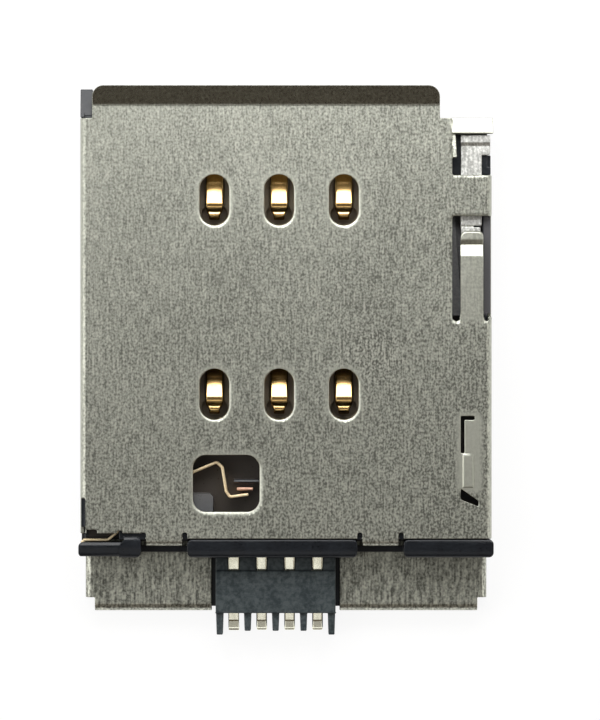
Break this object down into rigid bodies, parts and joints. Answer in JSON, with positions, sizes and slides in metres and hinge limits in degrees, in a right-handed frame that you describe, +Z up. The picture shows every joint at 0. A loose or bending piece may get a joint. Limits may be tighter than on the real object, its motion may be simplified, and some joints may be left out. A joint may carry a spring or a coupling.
{
  "type": "sim card socket",
  "caption": "Push-push card socket with a folded steel cover over a moulded deck, sprung gold contacts, a card switch and a cam-locked ejector, on a raised steel base.",
  "frame": {"origin": "middle of the bounding box on the board plane", "axes": "+Y towards the card mouth, +Z up from the board, +X to the right seen from above with the mouth away from the viewer"},
  "size_m": [0.0164, 0.0216, 0.0031],
  "materials": {
    "cover_steel": "fine brushed stainless sheet",
    "base_steel": "streaky brushed stainless sheet",
    "deck_resin": "moulded black resin",
    "comb_resin": "moulded grey-black resin",
    "contact_gold": "bright gold plating",
    "switch_gold": "thin gold plating over copper alloy",
    "slider_resin": "moulded black resin, slightly glossy",
    "link_steel": "stamped spring steel"
  },
  "bodies": {
    "socket": {"cover_shell": "cover_steel", "deck_housing": "deck_resin", "base_shell": "base_steel", "base_frame": "deck_resin", "tail_comb": "comb_resin", "contact_front_1": "contact_gold", "contact_front_2": "contact_gold", "contact_front_3": "contact_gold", "contact_rear_1": "contact_gold", "contact_rear_2": "contact_gold", "contact_rear_3": "contact_gold", "switch_spring": "switch_gold", "switch_terminal": "switch_gold", "eject_spring": "link_steel"},
    "slider": {"ejector_slider": "slider_resin"},
    "link": {"cam_link": "link_steel"}
  },
  "joints": [
    {"name": "slider_push", "type": "slide", "parent": "socket", "child": "slider", "axis": [0, -1, 0], "range_m": [0, 0.0039], "stiffness_N_per_m": 120, "springref_m": -0.002, "deforming": ["eject_spring"]},
    {"name": "link_swing", "type": "hinge", "parent": "socket", "child": "link", "pos_m": [0.0073, 0.0086, 0.0021], "axis": [0, 0, 1], "range_deg": [0, 2.75]}
  ],
  "couplings": [
    {"joint": "link_swing", "follows": "slider_push", "rad_per_m": 12.07}
  ]
}
